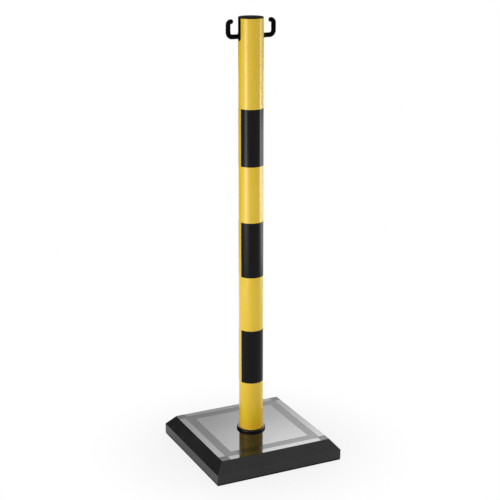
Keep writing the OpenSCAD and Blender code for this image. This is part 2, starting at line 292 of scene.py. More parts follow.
class EffectShelf:
    """Builds the node group of each shared effect once, when a finish first asks for it."""

    def __init__(self) -> None:
        """Lists the effects, with none built."""
        self.built: Dict[Effect, bpy.types.NodeTree] = {}
        self.plans: Dict[Effect, EffectPlan] = {
            Effect.MOULD_GRAIN: EffectPlan({"Size": 0.0005, "Fineness": 0.5}, "Height", self.draw_grain),
            Effect.FLOW_RIPPLE: EffectPlan({"Wavelength": 0.02}, "Height", self.draw_ripple),
            Effect.FINE_SCUFFS: EffectPlan({"Amount": 1.0}, "Mask", self.draw_scuffs),
            Effect.SETTLED_DUST: EffectPlan({"Amount": 0.3}, "Mask", self.draw_dust),
            Effect.TONE_DRIFT: EffectPlan({"Breadth": 0.08}, "Mask", self.draw_drift),
        }

    def fetch(self, effect: Effect) -> bpy.types.NodeTree:
        """Gives an effect's group, building it at the first call.

        Args:
            effect: The effect.

        Returns:
            Its node group.
        """
        if effect not in self.built:
            plan = self.plans[effect]
            tree = bpy.data.node_groups.new(effect.value, "ShaderNodeTree")
            tree.interface.new_socket("Position", in_out="INPUT", socket_type="NodeSocketVector")
            for label, value in plan.inputs.items():
                socket = tree.interface.new_socket(label, in_out="INPUT", socket_type="NodeSocketFloat")
                socket.default_value = value
            tree.interface.new_socket(plan.output, in_out="OUTPUT", socket_type="NodeSocketFloat")
            entry = tree.nodes.new("NodeGroupInput")
            leave = tree.nodes.new("NodeGroupOutput")
            given = {socket.name: socket for socket in entry.outputs if socket.name}
            tree.links.new(plan.draw(NodeSheet(tree), given), leave.inputs[plan.output])
            self.built[effect] = tree
        return self.built[effect]

    @staticmethod
    def draw_grain(sheet: NodeSheet, given: Given) -> Socket:
        """Draws the pebbled grain of a spark-eroded mould: rounded cells with finer noise.

        Args:
            sheet: The group's sheet.
            given: Position, the pebbles' Size in metres, and the Fineness as the noise's share.

        Returns:
            The grain's height.
        """
        at = sheet.sized(given["Position"], given["Size"])
        pebbles = sheet.cells(at, 1.0, "SMOOTH_F1")["Distance"]
        return sheet.between(given["Fineness"], pebbles, sheet.noise(at, 1.8, 2.0, 0.6))

    @staticmethod
    def draw_ripple(sheet: NodeSheet, given: Given) -> Socket:
        """Draws the long soft waves that cooling leaves in a glossy moulding."""
        return sheet.noise(sheet.sized(given["Position"], given["Wavelength"]), 1.0, 1.0, 0.35)

    @staticmethod
    def draw_scuffs(sheet: NodeSheet, given: Given) -> Socket:
        """Draws hair-thin handling scratches along two slanting lines, in patches.

        Args:
            sheet: The group's sheet.
            given: Position and the Amount.

        Returns:
            A mask of the scratches.
        """
        crests: List[Socket] = []
        for turn, shift in ((0.6, 0.0), (-0.9, 3.7)):
            spun = sheet.add(
                "ShaderNodeVectorRotate", {"rotation_type": "EULER_XYZ"},
                Vector=given["Position"], Rotation=(turn * 0.5, turn * 0.3, turn),
            ).outputs[0]
            drawn = sheet.stretched(spun, (34.0, 900.0, 900.0))
            moved = sheet.through("ShaderNodeVectorMath", {"operation": "ADD"}, drawn, (shift,) * 3)
            crests.append(sheet.ramp(sheet.noise(moved, 1.0, 1.0, 0.4), 0.72, 0.80))
        patches = sheet.ramp(sheet.noise(given["Position"], 14.0, 2.0), 0.42, 0.62)
        return sheet.times(sheet.times(sheet.maths("MAXIMUM", *crests), patches), given["Amount"])

    @staticmethod
    def draw_dust(sheet: NodeSheet, given: Given) -> Socket:
        """Draws the thin dust on faces that look up: a cloudy veil with a few specks.

        Args:
            sheet: The group's sheet.
            given: Position and the Amount.

        Returns:
            A mask of the dust.
        """
        normal = sheet.add("ShaderNodeNewGeometry").outputs["Normal"]
        rise = sheet.add("ShaderNodeSeparateXYZ", Vector=normal).outputs["Z"]
        facing = sheet.ramp(rise, 0.35, 0.95)
        veil = sheet.ramp(sheet.noise(given["Position"], 22.0, 5.0, 0.62), 0.35, 0.8)
        specks = sheet.ramp(sheet.noise(given["Position"], 1400.0, 0.0), 0.74, 0.8)
        both = sheet.plus(sheet.times(veil, 0.5), specks)
        return sheet.times(sheet.times(both, facing), given["Amount"])

    @staticmethod
    def draw_drift(sheet: NodeSheet, given: Given) -> Socket:
        """Draws the slow drift of tone in a coloured plastic: broad clouds and uneven pigment.

        Args:
            sheet: The group's sheet.
            given: Position and the clouds' Breadth in metres.

        Returns:
            A mask from 0 to 1.
        """
        at = sheet.sized(given["Position"], given["Breadth"])
        broad = sheet.noise(at, 1.0, 2.0, 0.5)
        pigment = sheet.noise(at, 24.0, 2.0, 0.5)
        return sheet.ramp(sheet.between(0.35, broad, pigment), 0.3, 0.7)


# Finishes


class Coat:
    """A material while a finish is laid on it: its shader, its nodes and each point's place."""

    def __init__(self, finish: "Finish", shelf: EffectShelf) -> None:
        """Starts a material that has only its Principled shader.

        Args:
            finish: The finish that gives its name, colour and reflection.
            shelf: The shared effects.
        """
        self.material = bpy.data.materials.new(finish.name)
        self.material.use_nodes = True
        self.material.diffuse_color = (*finish.colour, 1.0)
        self.shader = self.material.node_tree.nodes["Principled BSDF"]
        self.sheet = NodeSheet(self.material.node_tree)
        self.shelf = shelf
        self.position, self.x, self.y, self.z = self.sheet.place()
        self.feed("Specular IOR Level", finish.specular)

    def feed(self, name: str, value: Feed) -> None:
        """Feeds one input of the shader."""
        self.sheet.feed(self.shader.inputs[name], value)

    def effect(self, effect: Effect, **inputs: Feed) -> Socket:
        """Places a shared effect with its own values."""
        return self.sheet.group(self.shelf.fetch(effect), Position=self.position, **inputs)

    def tint(self, tone: Feed, *layers: Tuple[Feed, float, Feed]) -> None:
        """Sets the colour: a tone with other colours laid over it, one by one.

        Args:
            tone: The first colour.
            *layers: Each mask, the share that it covers where it is 1, and its colour.
        """
        for mask, share, colour in layers:
            tone = self.sheet.blend(self.sheet.times(mask, share), tone, colour)
        self.feed("Base Color", tone)

    def roughen(self, rough: Feed, *layers: Tuple[Feed, float]) -> None:
        """Sets the roughness: a plain one with more of it where masks are strong.

        Args:
            rough: The plain roughness.
            *layers: Each mask, with what it adds where it is 1.
        """
        for mask, rise in layers:
            rough = self.sheet.plus(rough, self.sheet.times(mask, rise))
        self.feed("Roughness", rough)

    def emboss(self, *layers: Tuple[Feed, float]) -> None:
        """Stacks heights into the shader's normal.

        Args:
            *layers: Each height, from 0 to 1, with the depth that it stands for in metres.
        """
        normal: Optional[Socket] = None
        for height, depth in layers:
            bump = self.sheet.add("ShaderNodeBump", Height=height, Strength=1.0, Distance=depth)
            if normal is not None:
                self.sheet.feed(bump.inputs["Normal"], normal)
            normal = bump.outputs["Normal"]
        self.feed("Normal", normal)


@dataclass(frozen=True)
class Finish:
    """What every finish has: a name, a colour and how strongly it reflects."""

    name: str
    colour: Colour
    specular: float = 0.5

    def lay(self, coat: Coat) -> None:
        """Lays the finish on a new material, in each finish's own way."""
        raise NotImplementedError

    def make(self, shelf: EffectShelf) -> bpy.types.Material:
        """Makes the finish's material.

        Args:
            shelf: The shared effects.

        Returns:
            The material.
        """
        coat = Coat(self, shelf)
        self.lay(coat)
        return coat.material


@dataclass(frozen=True)
class ShellForm:
    """Outer sizes of the base's shell and of the pattern in its top."""

    half: float = 0.140
    side: float = 0.0215
    top: float = 0.0425
    bevel_in: float = 0.018
    strip: float = 0.0145
    frame_width: float = 0.0185
    patch: float = 0.019

    @property
    def top_half(self) -> float:
        """Half the width of the top face, to the bevel's edge."""
        return self.half - self.bevel_in

    @property
    def slope(self) -> float:
        """Angle of the bevel above the floor."""
        return math.atan2(self.top - self.side, self.bevel_in)

    @property
    def frame_outer(self) -> float:
        """Half the width of the grained frame, over its outer edge."""
        return self.top_half - self.strip

    @property
    def frame_inner(self) -> float:
        """Half the width of the polished panel inside the frame."""
        return self.frame_outer - self.frame_width

    @property
    def patch_inner(self) -> float:
        """How far the corner squares' inner edges are from the middle."""
        return self.top_half - self.patch

    def area_at(self, x: float, y: float) -> Area:
        """Tells which area of the top face a place lies in.

        Args:
            x: The place along X.
            y: The place along Y.

        Returns:
            The area. The polished panel and strips belong to the body.
        """
        near, far = sorted((abs(x), abs(y)))
        if near > self.patch_inner:
            return Area.CORNERS
        return Area.FRAME if self.frame_inner < far < self.frame_outer else Area.BODY


@dataclass(frozen=True)
class ShellPlastic(Finish):
    """The base's moulded shell: satin sides, with a top of its own sheen and grain."""

    form: ShellForm = ShellForm()
    top_sheen: Sheen = Sheen.POLISHED
    top_grain: float = 0.0
    side_grain: float = 0.08
    top_reach: float = 0.0006
    polished: Colour = screen(9, 9, 10)
    upright_grey: Colour = screen(58, 57, 58)
    upright_blur: float = 0.0005
    grain: float = 0.00055
    grain_depth: float = 0.000012
    ripple_depth: float = 0.000006
    scuff_depth: float = 0.000003

    def lay(self, coat: Coat) -> None:
        """Lays the shell's plastic, darker on the top face and a lighter grey on the upright sides.

        Args:
            coat: The material that takes it.
        """
        sheet = coat.sheet
        drift = coat.effect(Effect.TONE_DRIFT, Breadth=0.06)
        dust = coat.effect(Effect.SETTLED_DUST, Amount=0.16)
        scuffs = coat.effect(Effect.FINE_SCUFFS, Amount=0.6)
        grain = coat.effect(Effect.MOULD_GRAIN, Size=self.grain, Fineness=0.55)
        ripple = coat.effect(Effect.FLOW_RIPPLE, Wavelength=0.035)
        top = sheet.above(coat.z, self.form.top - self.top_reach)
        shoulder = self.form.side
        upright = sheet.ramp(coat.z, shoulder - self.upright_blur, shoulder + self.upright_blur, 1.0, 0.0)
        coat.tint(
            sheet.blend(drift, shaded(self.colour, 0.7), self.colour),
            (top, 0.7, self.polished),
            (upright, 0.5, self.upright_grey),
            (dust, 0.35, DUST),
        )
        plain = sheet.between(top, Sheen.SATIN.value, self.top_sheen.value)
        coat.roughen(plain, (dust, 0.3), (scuffs, 0.12), (drift, 0.02))
        coat.emboss(
            (sheet.times(grain, sheet.between(top, self.side_grain, self.top_grain)), self.grain_depth),
            (ripple, self.ripple_depth),
            (sheet.inverse(scuffs), self.scuff_depth),
        )


@dataclass(frozen=True)
class GrainedPlastic(Finish):
    """A moulded black plastic with a fine even grain, as on the head, collar, plate and plug."""

    sheen: Sheen = Sheen.SATIN
    grain: float = 0.0004
    grain_depth: float = 0.000008
    dust: float = 0.15
    scuffs: float = 0.5
    parting_from: float = 0.0
    parting_slope: Flat = (0.00012, 0.00034)
    parting_depth: float = 0.00012
    gate_height: float = 0.0
    gate_reach: float = 0.0004
    gate_rim: Flat = (0.0026, 0.0032)
    gate_nub: Flat = (0.0006, 0.001)
    gate_depth: float = 0.0003

    def parting_line(self, coat: Coat) -> Socket:
        """Draws the low ridge that the mould's halves leave where they meet along the hooks.

        Args:
            coat: The material that it is drawn in.

        Returns:
            The ridge's height.
        """
        sheet = coat.sheet
        ridge = sheet.ramp(sheet.maths("ABSOLUTE", coat.y), *self.parting_slope, 1.0, 0.0)
        return sheet.times(ridge, sheet.above(sheet.maths("ABSOLUTE", coat.x), self.parting_from))

    def gate_mark(self, coat: Coat) -> Socket:
        """Draws the round dimple of the gate in the middle of the cap.

        Args:
            coat: The material that it is drawn in.

        Returns:
            The mark's height.
        """
        sheet = coat.sheet
        radius = sheet.maths("SQRT", sheet.plus(sheet.times(coat.x, coat.x), sheet.times(coat.y, coat.y)))
        dimple = sheet.ramp(radius, *self.gate_rim)
        nub = sheet.ramp(radius, *self.gate_nub, 1.0, 0.0)
        high = sheet.above(coat.z, self.gate_height - self.gate_reach)
        return sheet.between(high, 1.0, sheet.maths("MAXIMUM", dimple, nub))

    def lay(self, coat: Coat) -> None:
        """Lays the plastic, with the parting line and the gate's mark where it has them.

        Args:
            coat: The material that takes it.
        """
        drift = coat.effect(Effect.TONE_DRIFT, Breadth=0.03)
        dust = coat.effect(Effect.SETTLED_DUST, Amount=self.dust)
        scuffs = coat.effect(Effect.FINE_SCUFFS, Amount=self.scuffs)
        grain = coat.effect(Effect.MOULD_GRAIN, Size=self.grain, Fineness=0.6)
        coat.tint(
            coat.sheet.blend(drift, shaded(self.colour, 0.65), self.colour),
            (scuffs, 0.25, screen(84, 84, 86)),
            (dust, 0.4, DUST),
        )
        coat.roughen(self.sheen.value, (drift, 0.06), (dust, 0.3))
        layers: List[Tuple[Feed, float]] = [(grain, self.grain_depth)]
        if self.parting_from:
            layers.append((self.parting_line(coat), self.parting_depth))
        if self.gate_height:
            layers.append((self.gate_mark(coat), self.gate_depth))
        coat.emboss(*layers)


@dataclass(frozen=True)
class DrawnPlastic(Finish):
    """The post's coloured pipe: glossy, with the faint lengthwise lines of the extruder's die."""

    sheen: Sheen = Sheen.SLEEK
    faded: Colour = screen(233, 198, 46)
    line_stretch: Point = (420.0, 420.0, 2.5)
    wave_stretch: Point = (90.0, 90.0, 1.2)
    line_depth: float = 0.0000025
    ripple_depth: float = 0.000004
    scuff_depth: float = 0.000004
    # Where the painted light above the collar starts, how far up it reaches, and its colour.
    foot: float = 0.0445
    foot_reach: float = 0.03
    foot_painted_light: Colour = screen(250, 178, 50)

    def lay(self, coat: Coat) -> None:
        """Lays the pipe's colour and gloss, with painted light in patches over the collar: a warmer,
        brighter yellow.

        Args:
            coat: The material that takes them.
        """
        sheet = coat.sheet
        drift = coat.effect(Effect.TONE_DRIFT, Breadth=0.09)
        scuffs = coat.effect(Effect.FINE_SCUFFS, Amount=0.9)
        ripple = coat.effect(Effect.FLOW_RIPPLE, Wavelength=0.03)
        lines = sheet.noise(sheet.stretched(coat.position, self.line_stretch), 1.0, 2.0, 0.55)
        waves = sheet.noise(sheet.stretched(coat.position, self.wave_stretch), 1.0, 1.0, 0.5)
        painted_light_near_foot = sheet.ramp(coat.z, self.foot, self.foot + self.foot_reach, 1.0, 0.0)
        coat.tint(
            sheet.blend(drift, self.colour, self.faded),
            (sheet.ramp(lines, 0.35, 0.7), 0.1, shaded(self.colour, 0.8)),
            # Painted light: a warmer, brighter yellow in patches just above the collar, laid over the shade
            # that the collar and base cast there.
            (sheet.times(sheet.noise(coat.position, 60.0, 4.0, 0.6), painted_light_near_foot), 0.9, self.foot_painted_light),
            (scuffs, 0.22, screen(246, 232, 176)),
        )
        coat.roughen(self.sheen.value, (sheet.ramp(waves, 0.3, 0.7), 0.05), (scuffs, 0.15))
        coat.emboss(
            (lines, self.line_depth),
            (ripple, self.ripple_depth),
            (sheet.inverse(scuffs), self.scuff_depth),
        )


@dataclass(frozen=True)
class BandFilm(Finish):
    """The black self-adhesive film: smooth, with a faint orange peel and rubbed edges."""

    sheen: Sheen = Sheen.GLOSSY
    foot: float = 0.1525
    height: float = 0.115
    pitch: float = 0.23
    edge: float = 0.0016
    peel: float = 0.0035
    peel_depth: float = 0.0000025
    ripple_depth: float = 0.00001

    def rubbed_edges(self, coat: Coat) -> Socket:
        """Draws the wear along the lower and upper edge of each band.

        Args:
            coat: The material that it is drawn in.

        Returns:
            A mask of the wear.
        """
        sheet = coat.sheet
        step = sheet.maths("MODULO", sheet.maths("SUBTRACT", coat.z, self.foot), self.pitch)
        low = sheet.ramp(step, 0.0, self.edge, 1.0, 0.0)
        high = sheet.ramp(step, self.height - self.edge, self.height)
        return sheet.times(sheet.maths("MAXIMUM", low, high), sheet.noise(coat.position, 160.0, 3.0))

    def lay(self, coat: Coat) -> None:
        """Lays the film's colour, gloss and orange peel.

        Args:
            coat: The material that takes them.
        """
        drift = coat.effect(Effect.TONE_DRIFT, Breadth=0.05)
        scuffs = coat.effect(Effect.FINE_SCUFFS, Amount=0.8)
        peel = coat.effect(Effect.FLOW_RIPPLE, Wavelength=self.peel)
        ripple = coat.effect(Effect.FLOW_RIPPLE, Wavelength=0.03)
        edges = self.rubbed_edges(coat)
        coat.tint(
            coat.sheet.blend(drift, shaded(self.colour, 0.75), self.colour),
            (edges, 0.35, screen(70, 68, 60)),
            (scuffs, 0.2, screen(90, 90, 92)),
        )
        worn = coat.sheet.maths("MAXIMUM", edges, scuffs)
        coat.roughen(self.sheen.value, (drift, 0.05), (worn, 0.15))
        coat.emboss((peel, self.peel_depth), (ripple, self.ripple_depth))


@dataclass(frozen=True)
class FootRubber(Finish):
    """The feet's black rubber, with a bloom of grey where it has aged."""

    sheen: Sheen = Sheen.DULL
    bloom: Colour = screen(58, 57, 55)
    grain: float = 0.0007
    grain_depth: float = 0.00003

    def lay(self, coat: Coat) -> None:
        """Lays the rubber's colour, bloom and grain.

        Args:
            coat: The material that takes them.
        """
        drift = coat.effect(Effect.TONE_DRIFT, Breadth=0.012)
        grain = coat.effect(Effect.MOULD_GRAIN, Size=self.grain, Fineness=0.7)
        coat.tint(coat.sheet.blend(drift, self.colour, self.bloom))
        coat.roughen(self.sheen.value, (drift, 0.12))
        coat.emboss((grain, self.grain_depth))


@dataclass(frozen=True)
class CastConcrete(Finish):
    """The cast block: grey cement with sand, small stones and air holes."""

    sheen: Sheen = Sheen.STONY
    stones: Colour = screen(134, 128, 118)
    sand: Colour = screen(196, 190, 178)
    # The darker colour painted into the air holes as shade.
    painted_hole_shade: Colour = screen(84, 80, 74)
    sand_depth: float = 0.0001
    hole_depth: float = 0.0006

    def lay(self, coat: Coat) -> None:
        """Lays the cement with its sand and stones, and the holes with painted shade in them.

        Args:
            coat: The material that takes them.
        """
        sheet = coat.sheet
        drift = coat.effect(Effect.TONE_DRIFT, Breadth=0.05)
        sand = coat.effect(Effect.MOULD_GRAIN, Size=0.0009, Fineness=0.6)
        stone = sheet.ramp(sheet.cells(coat.position, 130.0)["Distance"], 0.28, 0.36, 1.0, 0.0)
        hole = sheet.ramp(sheet.cells(coat.position, 85.0)["Distance"], 0.1, 0.16, 1.0, 0.0)
        coat.tint(
            sheet.blend(drift, shaded(self.colour, 0.8), self.colour),
            (stone, 0.6, self.stones),
            (sand, 0.3, self.sand),
            # Painted shade: each air hole is coloured darker, on top of its bump.
            (hole, 1.0, self.painted_hole_shade),
        )
        coat.roughen(self.sheen.value, (sand, 0.15))
        coat.emboss((sand, self.sand_depth), (sheet.inverse(hole), self.hole_depth))


@dataclass(frozen=True)
class ZincSteel(Finish):
    """Zinc-plated steel with a faint spangle and turning marks."""

    sheen: Sheen = Sheen.PLATED
    mark_stretch: Point = (60.0, 60.0, 4000.0)
    mark_depth: float = 0.000006

    def lay(self, coat: Coat) -> None:
        """Lays the zinc's colour, spangle and marks.

        Args:
            coat: The material that takes them.
        """
        sheet = coat.sheet
        coat.feed("Metallic", 1.0)
        scuffs = coat.effect(Effect.FINE_SCUFFS, Amount=0.8)
        flakes = sheet.cells(coat.position, 900.0)["Color"]
        spangle = sheet.add("ShaderNodeSeparateColor", Color=flakes).outputs[0]
        marks = sheet.noise(sheet.stretched(coat.position, self.mark_stretch), 1.0, 2.0)
        coat.tint(self.colour, (spangle, 0.6, shaded(self.colour, 0.72)))
        coat.roughen(self.sheen.value, (spangle, 0.14), (scuffs, 0.2))
        coat.emboss((marks, self.mark_depth))


class FinishBook:
    """Makes each finish once and hands it to the pieces that wear it."""

    def __init__(self) -> None:
        """Sets the finishes of the whole bollard: name, colour and reflection, and what differs."""
        shell, black = screen(34, 34, 35), screen(24, 24, 25)
        finishes: Tuple[Finish, ...] = (
            ShellPlastic(Area.BODY.value, shell, specular=0.27),
            ShellPlastic(Area.FRAME.value, shell, specular=0.115, top_sheen=Sheen.FROSTED, top_grain=1.0),
            ShellPlastic(Area.CORNERS.value, shell, specular=0.095, top_sheen=Sheen.SLEEK, top_grain=1.0),
            GrainedPlastic(
                "head_plastic", screen(7, 7, 7), specular=0.025, sheen=Sheen.SLEEK,
                dust=0.03, scuffs=0.2, parting_from=0.0262, gate_height=0.905,
            ),
            GrainedPlastic(
                "collar_plastic", screen(10, 10, 10), specular=0.18, grain_depth=0.000005, dust=0.06
            ),
            GrainedPlastic(
                "plate_plastic", black, specular=0.4, sheen=Sheen.GRAINED, grain_depth=0.00002
            ),
            GrainedPlastic("plug_plastic", black, specular=0.4, sheen=Sheen.GRAINED),
            DrawnPlastic("post_yellow", screen(233, 193, 26), specular=0.56),
            BandFilm("band_film", screen(5, 5, 5), specular=0.14),
            FootRubber("foot_rubber", screen(34, 34, 34), specular=0.3),
            CastConcrete("concrete", screen(168, 165, 158), specular=0.3),
            ZincSteel("zinc_steel", screen(206, 208, 212)),
        )
        self.finishes = {finish.name: finish for finish in finishes}
        self.shelf = EffectShelf()
        self.made: Dict[str, bpy.types.Material] = {}

    def wear(self, piece: bpy.types.Object, *names: str) -> None:
        """Puts finishes on a piece, in place of what it had.

        Args:
            piece: The CAD node or new piece.
            *names: The finishes, in the order of the piece's material indices.
        """
        if piece.data.materials:
            # Clearing also gives every face the first material, so a new piece goes without it.
            piece.data.materials.clear()
        for name in names:
            if name not in self.made:
                self.made[name] = self.finishes[name].make(self.shelf)
            piece.data.materials.append(self.made[name])


# Meshes


def link_mesh(name: str, mesh: Mesh) -> bpy.types.Object:
    """Turns a finished mesh into an object of the scene.

    Args:
        name: The object's name.
        mesh: The mesh, which is freed.

    Returns:
        The object.
    """
    data = bpy.data.meshes.new(name)
    mesh.to_mesh(data)
    mesh.free()
    piece = bpy.data.objects.new(name, data)
    bpy.context.scene.collection.objects.link(piece)
    return piece


def flat_face(name: str, places: Sequence[Sequence[float]]) -> bpy.types.Object:
    """Makes an object of one flat face.

    Args:
        name: The object's name.
        places: The face's corners, in order.

    Returns:
        The object.
    """
    mesh = bmesh.new()
    mesh.faces.new([mesh.verts.new(place) for place in places])
    return link_mesh(name, mesh)


def round_ring(mesh: Mesh, radius: float, z: float, count: int, middle: Flat = (0.0, 0.0)) -> Ring:
    """Adds a round ring of points.

    Args:
        mesh: The mesh that takes the points.
        radius: The ring's radius.
        z: Its height.
        count: How many points it has.
        middle: Its middle, which is the post's axis where none is given.

    Returns:
        The points in order, from the front left.
    """
    turns = [4 * QUARTER_TURN * (i / count) - 1.5 * QUARTER_TURN for i in range(count)]
    return [
        mesh.verts.new((middle[0] + radius * math.cos(a), middle[1] + radius * math.sin(a), z))
        for a in turns
    ]


def skin(mesh: Mesh, low: Ring, high: Ring) -> None:
    """Joins two rings of equal count with four-sided faces.

    Args:
        mesh: The mesh that takes the faces.
        low: The first ring.
        high: The ring that it is joined to.
    """
    for i in range(len(low)):
        j = (i + 1) % len(low)
        mesh.faces.new((low[i], low[j], high[j], high[i]))


def quarter(ring: Ring, side: int) -> Ring:
    """Gives one quarter of a closed ring, with the first point of the next quarter."""
    count = len(ring) // 4
    return [ring[(side * count + i) % len(ring)] for i in range(count + 1)]


def holed_square(mesh: Mesh, border: Ring, circle: Ring) -> None:
    """Fills a square around a round hole with four faces, each a quarter of the way round.

    Args:
        mesh: The mesh that takes the faces.
        border: Points of the square, from its front left corner, in order.
        circle: Points of the hole, in the same order.
    """
    for side in range(4):
        mesh.faces.new([*quarter(border, side), *reversed(quarter(circle, side))])


class TopGrid:
    """The points that the top face's cells join: a grid, and the rim that its lines end at."""

    def __init__(self, mesh: Mesh, marks: Sequence[float], level: float, rim: Ring) -> None:
        """Adds the grid's points.

        Args:
            mesh: The mesh that takes the points.
            marks: Places of the grid's lines, along X and along Y.
            level: The grid's height.
            rim: The ring around the grid, which has a point at each line's end.
        """
        self.rim = rim
        self.last = len(marks) - 1
        self.points = {
            (i, j): mesh.verts.new((x, y, level))
            for i, x in enumerate(marks) for j, y in enumerate(marks)
        }
        last = self.last
        self.corner_sides = {(last, -1): 0, (last, last): 1, (-1, last): 2, (-1, -1): 3}

    def on_rim(self, side: int, index: int) -> Vert:
        """Gives a rim point by its side and its place along it."""
        return self.rim[(side * (len(self.rim) // 4) + index) % len(self.rim)]

    def point(self, i: int, j: int) -> Vert:
        """Gives the point where two lines cross, or where one ends at the rim.

        Args:
            i: Number of the line across X. The rim comes before the first and after the last.
            j: The same across Y.

        Returns:
            The point.
        """
        if j < 0:
            return self.on_rim(0, i)
        if i > self.last:
            return self.on_rim(1, j)
        if j > self.last:
            return self.on_rim(2, self.last - i)
        if i < 0:
            return self.on_rim(3, self.last - j)
        return self.points[i, j]

    def cell(self, i: int, j: int) -> Ring:
        """Gives the points around one cell. A cell in a corner follows the rim's rounding.

        Args:
            i: Number of the cell along X, from -1 for the one at the rim.
            j: The same along Y.

        Returns:
            The points, in order.
        """
        side = self.corner_sides.get((i, j))
        if side is None:
            return [self.point(i + a, j + b) for a, b in ((0, 0), (1, 0), (1, 1), (0, 1))]
        rounding = [self.on_rim(side, k) for k in range(self.last, len(self.rim) // 4 + 1)]
        return [*rounding, self.points[max(i, 0), max(j, 0)]]


# Sub-assemblies


@dataclass
class SubAssembly:
    """A group of pieces that are made and fitted together."""

    finishes: FinishBook
    nodes: Dict[str, str] = field(default_factory=dict)

    def build(self) -> None:
        """Builds the meshes that stand for CAD nodes; a group with none leaves this as it is."""

    def dress(self) -> None:
        """Gives each CAD node of the group its finish."""
        for node, finish in self.nodes.items():
            self.finishes.wear(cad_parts[node], finish)
            LOG.info("%s wears %s", node, finish)


@dataclass
class WeightedBase(SubAssembly):
    """Moulded shell, cast block, bottom plate, screws and feet."""

    form: ShellForm = ShellForm()
    lip: float = 0.002
    wall: float = 0.003
    edge: float = 0.0012
    corner: float = 0.002
    relief: float = 0.0002
    step_run: float = 0.00018
    hole: float = 0.01515
    sleeve: float = 0.01815
    sleeve_foot: float = 0.0275
    rib: float = 0.0025
    rib_depth: float = 0.012
    boss: float = 0.010
    screw: float = 0.0044
    screw_reach: float = 0.028
    plate_top: float = 0.006
    foot_at: float = 0.112
    sharp_over: float = math.radians(34)
    arc_steps: int = 5
    sleeve_steps: int = 48
    boss_steps: int = 24
    nodes: Dict[str, str] = field(default_factory=lambda: {
        "ballast_block": "concrete",
        "base_plate": "plate_plastic",
        "plate_screws": "zinc_steel",
        "foot_front_left": "foot_rubber",
        "foot_front_right": "foot_rubber",
        "foot_back_left": "foot_rubber",
        "foot_back_right": "foot_rubber",
    })

    @property
    def ceiling(self) -> float:
        """Height of the shell's ceiling, inside its wall."""
        return self.form.top - self.wall

    @property
    def lip_cut(self) -> float:
        """How far the outer wall's lower edge is cut back and up."""
        return self.edge / 3

    @property
    def bury(self) -> float:
        """How far a rib or boss runs into the wall that it stands on."""
        return self.wall / 4

    def stations(self) -> List[float]:
        """Gives the places along a side where the top's pattern has an edge."""
        marks = [self.form.frame_outer, self.form.patch_inner, self.form.frame_inner, 2 * self.hole]
        return sorted([-m for m in marks] + marks)

    def bend(self, radius: float, at: Flat, start: float, end: float) -> List[Flat]:
        """Rounds one corner of the section.

        Args:
            radius: The bend's radius.
            at: The sharp corner, as half width and height.
            start: Direction that the outline comes along, as an angle above the floor.
            end: Direction that it leaves in.

        Returns:
            Points of the bend, as half width and height.
        """
        turn = end - start
        reach = radius * math.tan(turn / 2)
        first = (at[0] - reach * math.cos(start), at[1] - reach * math.sin(start))
        centre = (first[0] - radius * math.sin(start), first[1] + radius * math.cos(start))
        angles = [start + turn * i / self.arc_steps for i in range(self.arc_steps + 1)]
        return [(centre[0] + radius * math.sin(a), centre[1] - radius * math.cos(a)) for a in angles]

    def section(self, inset: float) -> List[Flat]:
        """Gives the section from the lower lip to the top face.

        Args:
            inset: How far inside the outer skin it is drawn.

        Returns:
            Its points, as half width and height.
        """
        form, slope = self.form, self.form.slope
        up, bevel, level = QUARTER_TURN, math.pi - slope, math.pi
        shoulder = (form.half - inset, form.side - inset * math.tan((up - slope) / 2))
        brow = (form.top_half - inset * math.tan(slope / 2), form.top - inset)
        points = [(form.half - inset, self.lip + self.lip_cut)]
        points += self.bend(self.edge, shoulder, up, bevel)
        points += self.bend(self.edge, brow, bevel, level)
        return points

    def ring(self, mesh: Mesh, half: float, z: float, corner: float) -> Ring:
        """Adds one closed ring of points with rounded corners.

        Args:
            mesh: The mesh that takes the points.
            half: Half the ring's width.
            z: Its height.
            corner: Radius of its corners.

        Returns:
            The points in order, from the front side's left end, seen from above.
        """
        run = [(x, -half) for x in self.stations()]
        centre = half - corner
        for i in range(self.arc_steps + 1):
            a = -QUARTER_TURN + QUARTER_TURN * i / self.arc_steps
            run.append((centre + corner * math.cos(a), -centre + corner * math.sin(a)))
        ring: Ring = []
        for side in range(4):
            c, s = math.cos(side * QUARTER_TURN), math.sin(side * QUARTER_TURN)
            ring += [mesh.verts.new((x * c - y * s, x * s + y * c, z)) for x, y in run]
        return ring

    def add_walls(self, mesh: Mesh) -> Tuple[Ring, Ring]:
        """Adds the side walls, from the ceiling's edge down, under the lip and up to the top's edge.

        Args:
            mesh: The mesh that takes the faces.

        Returns:
            The rings at the ceiling's edge and at the top face's edge.
        """
        outlines = [(half, z, self.corner / 2) for half, z in reversed(self.section(self.wall))]
        outlines.append((self.form.half - self.wall, self.lip, self.corner / 2))
        outlines.append((self.form.half - self.lip_cut, self.lip, self.corner))
        outlines += [(half, z, self.corner) for half, z in self.section(0.0)]
        rings = [self.ring(mesh, *outline) for outline in outlines]
        for low, high in zip(rings, rings[1:]):
            skin(mesh, low, high)
        return rings[0], rings[-1]

    def add_top(self, mesh: Mesh, rim: Ring, hole: Ring) -> None:
        """Fills the top face with cells that follow its pattern, and sinks the grained ones.

        Args:
            mesh: The mesh that takes the faces.
            rim: The ring at the top face's edge.
            hole: The ring of the hole in its middle.
        """
        marks = self.stations()
        grid = TopGrid(mesh, marks, self.form.top, rim)
        middle = len(marks) // 2 - 1
        areas = list(Area)
        grained: List[bmesh.types.BMFace] = []
        for i, j in product(range(-1, len(marks)), repeat=2):
            if (i, j) == (middle, middle):
                holed_square(mesh, grid.cell(i, j), hole)
                continue
            face = mesh.faces.new(grid.cell(i, j))
            centre = face.calc_center_median()
            area = self.form.area_at(centre.x, centre.y)
            face.material_index = areas.index(area)
            if area is not Area.BODY:
                grained.append(face)
        mesh.normal_update()
        bmesh.ops.inset_region(
            mesh, faces=grained, thickness=self.step_run, depth=-self.relief,
            use_boundary=True, use_even_offset=True,
        )

